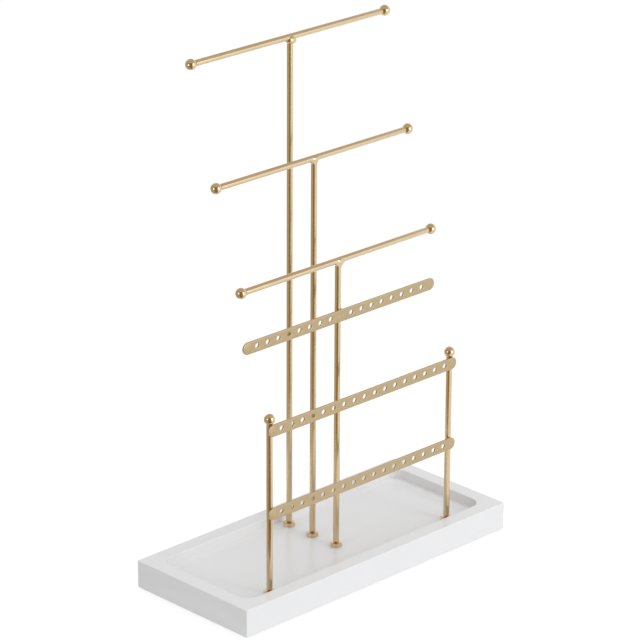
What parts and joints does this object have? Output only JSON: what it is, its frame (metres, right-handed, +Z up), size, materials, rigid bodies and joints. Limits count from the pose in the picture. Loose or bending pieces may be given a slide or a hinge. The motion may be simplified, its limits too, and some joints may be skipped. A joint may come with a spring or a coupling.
{
  "type": "jewellery stand with tray",
  "caption": "Free-standing jewellery stand: a shallow white tray carrying T-shaped necklace masts of stepped height and perforated earring bars.",
  "frame": {"origin": "centre of the footprint, on the table", "axes": "+X along the tray, +Y from the earring frame at the front to the tall mast at the back, +Z up"},
  "size_m": [0.3, 0.13, 0.4496],
  "materials": {
    "white_lacquered_wood": "satin white lacquer over a routed board",
    "gold_plated_steel": "satin champagne-gold plating",
    "zinc_plated_steel": "bright zinc plating",
    "grey_felt": "dense pressed felt"
  },
  "bodies": {
    "stand": {"tray": "white_lacquered_wood", "foot_pad_front_left": "grey_felt", "foot_pad_front_right": "grey_felt", "foot_pad_back_left": "grey_felt", "foot_pad_back_right": "grey_felt", "post_left": "gold_plated_steel", "post_right": "gold_plated_steel", "finial_left": "gold_plated_steel", "finial_right": "gold_plated_steel", "frame_top_bar": "gold_plated_steel", "frame_low_bar": "gold_plated_steel", "frame_welds": "gold_plated_steel", "post_left_lock_nut": "gold_plated_steel", "post_left_washer": "zinc_plated_steel", "post_left_under_nut": "zinc_plated_steel", "post_right_lock_nut": "gold_plated_steel", "post_right_washer": "zinc_plated_steel", "post_right_under_nut": "zinc_plated_steel"},
    "short_mast_body": {"short_mast": "gold_plated_steel", "short_crossbar": "gold_plated_steel", "short_mast_weld": "gold_plated_steel", "short_ball_left": "gold_plated_steel", "short_ball_right": "gold_plated_steel", "short_mast_lock_nut": "gold_plated_steel", "short_mast_washer": "zinc_plated_steel", "short_mast_under_nut": "zinc_plated_steel", "short_earring_bar": "gold_plated_steel", "short_bar_weld": "gold_plated_steel"},
    "mid_mast_body": {"mid_mast": "gold_plated_steel", "mid_crossbar": "gold_plated_steel", "mid_mast_weld": "gold_plated_steel", "mid_ball_left": "gold_plated_steel", "mid_ball_right": "gold_plated_steel", "mid_mast_lock_nut": "gold_plated_steel", "mid_mast_washer": "zinc_plated_steel", "mid_mast_under_nut": "zinc_plated_steel"},
    "tall_mast_body": {"tall_mast": "gold_plated_steel", "tall_crossbar": "gold_plated_steel", "tall_mast_weld": "gold_plated_steel", "tall_ball_left": "gold_plated_steel", "tall_ball_right": "gold_plated_steel", "tall_mast_lock_nut": "gold_plated_steel", "tall_mast_washer": "zinc_plated_steel", "tall_mast_under_nut": "zinc_plated_steel"}
  },
  "joints": [
    {"name": "tall_mast_swivel", "type": "hinge", "parent": "stand", "child": "tall_mast_body", "pos_m": [0, 0.042, 0.017], "axis": [0, 0, 1], "continuous": true},
    {"name": "mid_mast_swivel", "type": "hinge", "parent": "stand", "child": "mid_mast_body", "pos_m": [0, 0.014, 0.017], "axis": [0, 0, 1], "range_deg": [-75, 75]},
    {"name": "short_mast_swivel", "type": "hinge", "parent": "stand", "child": "short_mast_body", "pos_m": [0, -0.014, 0.017], "axis": [0, 0, 1], "range_deg": [-75, 75]}
  ]
}
